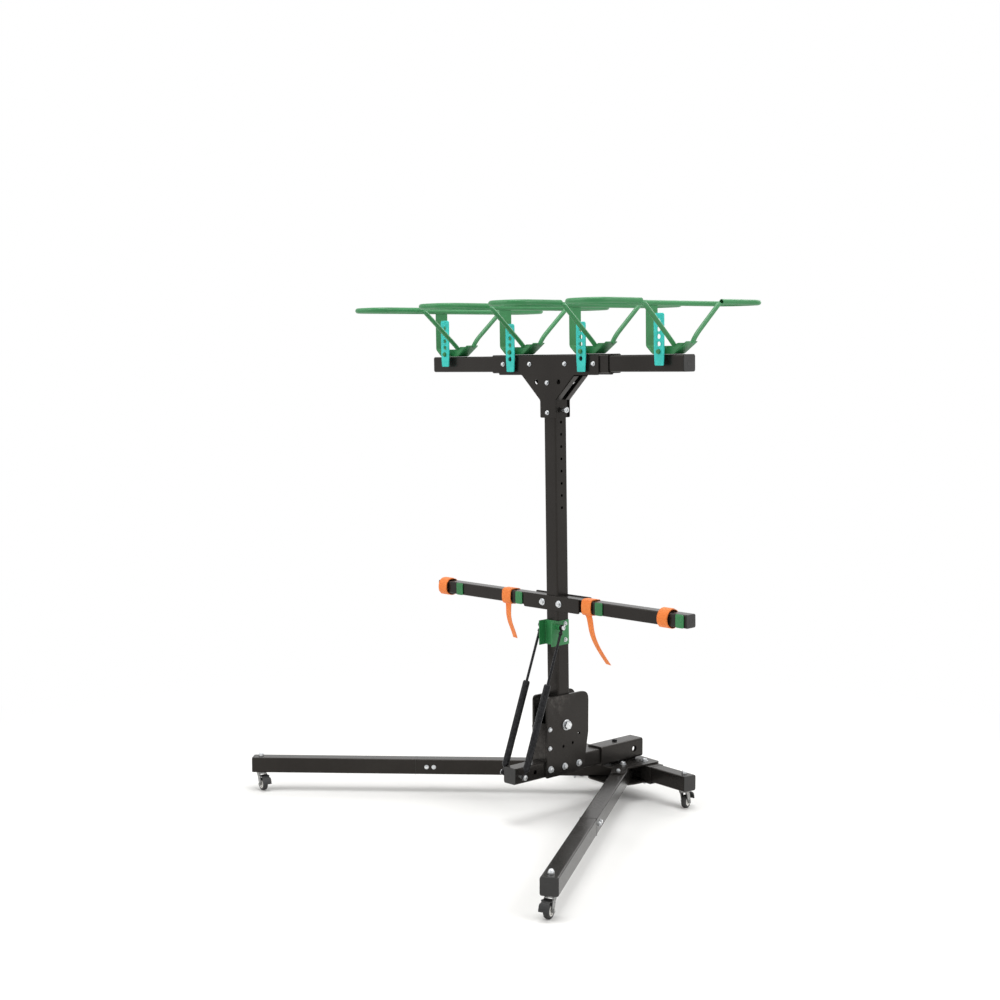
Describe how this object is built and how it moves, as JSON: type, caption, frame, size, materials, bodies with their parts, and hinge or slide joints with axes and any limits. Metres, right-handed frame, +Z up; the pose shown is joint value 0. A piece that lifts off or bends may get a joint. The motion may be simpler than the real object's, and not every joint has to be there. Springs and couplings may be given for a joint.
{
  "type": "two tier bike rack",
  "caption": "Vertical bike rack on a rolling base: leaning mast with gas struts, crossbar with wheel baskets and a lower bar with webbing straps.",
  "frame": {"origin": "middle of the bounding box, at floor level", "axes": "+X along the crossbar, -Y towards the side where the bicycles hang, +Z up"},
  "size_m": [1.6106, 1.159, 1.6116],
  "materials": {
    "black_coat": "satin powder coat",
    "green_coat": "satin powder coat",
    "zinc_steel": "zinc plated",
    "teal_rubber": "matte moulded rubber",
    "orange_webbing": "woven polyester webbing",
    "caster_rubber": "matte rubber tread",
    "pedal_nylon": "matte moulded nylon",
    "strut_black": "gloss black paint"
  },
  "bodies": {
    "leg_left_caster_swivel": {"leg_left_caster_fork": "zinc_steel"},
    "leg_left_caster_roller": {"leg_left_caster_wheel": "caster_rubber"},
    "leg_left_caster_pedal": {"leg_left_caster_brake": "pedal_nylon"},
    "leg_right_caster_swivel": {"leg_right_caster_fork": "zinc_steel"},
    "leg_right_caster_roller": {"leg_right_caster_wheel": "caster_rubber"},
    "leg_right_caster_pedal": {"leg_right_caster_brake": "pedal_nylon"},
    "rear_left_caster_swivel": {"rear_left_caster_fork": "zinc_steel"},
    "rear_left_caster_roller": {"rear_left_caster_wheel": "caster_rubber"},
    "rear_left_caster_pedal": {"rear_left_caster_brake": "pedal_nylon"},
    "rear_right_caster_swivel": {"rear_right_caster_fork": "zinc_steel"},
    "rear_right_caster_roller": {"rear_right_caster_wheel": "caster_rubber"},
    "rear_right_caster_pedal": {"rear_right_caster_brake": "pedal_nylon"},
    "strut_left_cylinder": {"strut_left_body": "strut_black"},
    "strut_left_piston": {"strut_left_rod": "zinc_steel"},
    "strut_right_cylinder": {"strut_right_body": "strut_black"},
    "strut_right_piston": {"strut_right_rod": "zinc_steel"},
    "base": {"leg_left": "black_coat", "leg_right": "black_coat", "rear_tube": "black_coat", "hub_plate_lower": "black_coat", "hub_plate_upper": "black_coat", "hub_bolt_left": "zinc_steel", "hub_bolt_right": "zinc_steel", "receiver": "black_coat", "stinger": "black_coat", "cheek_left": "black_coat", "cheek_right": "black_coat", "front_web": "black_coat", "strut_foot_pin": "zinc_steel", "pivot_bolt": "zinc_steel"},
    "mast": {"mast": "black_coat", "strut_bracket": "green_coat", "lower_bar_left": "black_coat", "lower_bar_right": "black_coat", "lower_clamp_front": "black_coat", "lower_clamp_rear": "black_coat", "wheel_stop_1": "green_coat", "wheel_stop_2": "green_coat", "wheel_stop_3": "green_coat", "wheel_stop_4": "green_coat", "wheel_strap_1": "orange_webbing", "wheel_strap_2": "orange_webbing", "wheel_strap_3": "orange_webbing", "wheel_strap_4": "orange_webbing"},
    "head": {"crossbar": "black_coat", "crossbar_sleeve": "black_coat", "mast_collar": "black_coat", "gusset_front": "black_coat", "gusset_rear": "black_coat", "head_bolt_left": "zinc_steel", "head_bolt_right": "zinc_steel", "basket_1": "green_coat", "basket_2": "green_coat", "basket_3": "green_coat", "basket_4": "green_coat", "rubber_strap_1": "teal_rubber", "rubber_strap_2": "teal_rubber", "rubber_strap_3": "teal_rubber", "rubber_strap_4": "teal_rubber"},
    "pull_pin": {"pull_pin": "zinc_steel"}
  },
  "joints": [
    {"name": "leg_left_caster_turn", "type": "hinge", "parent": "base", "child": "leg_left_caster_swivel", "pos_m": [-0.7685, -0.34733, 0.056], "axis": [0, 0, 1], "continuous": true},
    {"name": "leg_left_caster_roll", "type": "hinge", "parent": "leg_left_caster_swivel", "child": "leg_left_caster_roller", "pos_m": [-0.75472, -0.34979, 0.021], "axis": [0.1754, 0.9845, 0], "continuous": true},
    {"name": "leg_left_caster_press", "type": "hinge", "parent": "leg_left_caster_swivel", "child": "leg_left_caster_pedal", "pos_m": [-0.7557, -0.34961, 0.0485], "axis": [0.1754, 0.9845, 0], "range_deg": [0, 10]},
    {"name": "leg_right_caster_turn", "type": "hinge", "parent": "base", "child": "leg_right_caster_swivel", "pos_m": [0.76967, -0.52803, 0.056], "axis": [0, 0, 1], "continuous": true},
    {"name": "leg_right_caster_roll", "type": "hinge", "parent": "leg_right_caster_swivel", "child": "leg_right_caster_roller", "pos_m": [0.77438, -0.54121, 0.021], "axis": [0.9415, 0.3371, 0], "continuous": true},
    {"name": "leg_right_caster_press", "type": "hinge", "parent": "leg_right_caster_swivel", "child": "leg_right_caster_pedal", "pos_m": [0.77405, -0.54027, 0.0485], "axis": [0.9415, 0.3371, 0], "range_deg": [0, 10]},
    {"name": "rear_left_caster_turn", "type": "hinge", "parent": "base", "child": "rear_left_caster_swivel", "pos_m": [-0.13393, 0.5515, 0.056], "axis": [0, 0, 1], "continuous": true},
    {"name": "rear_left_caster_roll", "type": "hinge", "parent": "rear_left_caster_swivel", "child": "rear_left_caster_roller", "pos_m": [-0.14783, 0.55314, 0.021], "axis": [-0.1167, -0.9932, 0], "continuous": true},
    {"name": "rear_left_caster_press", "type": "hinge", "parent": "rear_left_caster_swivel", "child": "rear_left_caster_pedal", "pos_m": [-0.14684, 0.55302, 0.0485], "axis": [-0.1167, -0.9932, 0], "range_deg": [0, 10]},
    {"name": "rear_right_caster_turn", "type": "hinge", "parent": "base", "child": "rear_right_caster_swivel", "pos_m": [0.36067, 0.4934, 0.056], "axis": [0, 0, 1], "continuous": true},
    {"name": "rear_right_caster_roll", "type": "hinge", "parent": "rear_right_caster_swivel", "child": "rear_right_caster_roller", "pos_m": [0.35721, 0.50697, 0.021], "axis": [-0.969, -0.247, 0], "continuous": true},
    {"name": "rear_right_caster_press", "type": "hinge", "parent": "rear_right_caster_swivel", "child": "rear_right_caster_pedal", "pos_m": [0.35746, 0.506, 0.0485], "axis": [-0.969, -0.247, 0], "range_deg": [0, 10]},
    {"name": "mast_tilt", "type": "hinge", "parent": "base", "child": "mast", "pos_m": [0.11057, 0.17562, 0.286], "axis": [1, 0, 0], "range_deg": [0, 45]},
    {"name": "strut_left_swing", "type": "hinge", "parent": "base", "child": "strut_left_cylinder", "pos_m": [0.06457, -0.02238, 0.155], "axis": [1, 0, 0], "range_deg": [-0.5, 29.04]},
    {"name": "strut_left_stroke", "type": "slide", "parent": "strut_left_cylinder", "child": "strut_left_piston", "axis": [0, 0.3458, 0.9383], "range_m": [-0.14277, 0.001]},
    {"name": "strut_right_swing", "type": "hinge", "parent": "base", "child": "strut_right_cylinder", "pos_m": [0.15657, -0.02238, 0.155], "axis": [1, 0, 0], "range_deg": [-0.5, 29.04]},
    {"name": "strut_right_stroke", "type": "slide", "parent": "strut_right_cylinder", "child": "strut_right_piston", "axis": [0, 0.3458, 0.9383], "range_m": [-0.14277, 0.001]},
    {"name": "head_height", "type": "slide", "parent": "mast", "child": "head", "axis": [0, -0.0209, 0.9998], "range_m": [0, 0.08]},
    {"name": "pull_pin_slide", "type": "slide", "parent": "head", "child": "pull_pin", "axis": [1, 0, 0], "range_m": [-0.005, 0.012]}
  ],
  "couplings": [
    {"joint": "strut_left_swing", "follows": "mast_tilt", "ratio": 0.63432},
    {"joint": "strut_left_stroke", "follows": "mast_tilt", "m_per_rad": -0.18051},
    {"joint": "strut_right_swing", "follows": "mast_tilt", "ratio": 0.63432},
    {"joint": "strut_right_stroke", "follows": "mast_tilt", "m_per_rad": -0.18051}
  ]
}
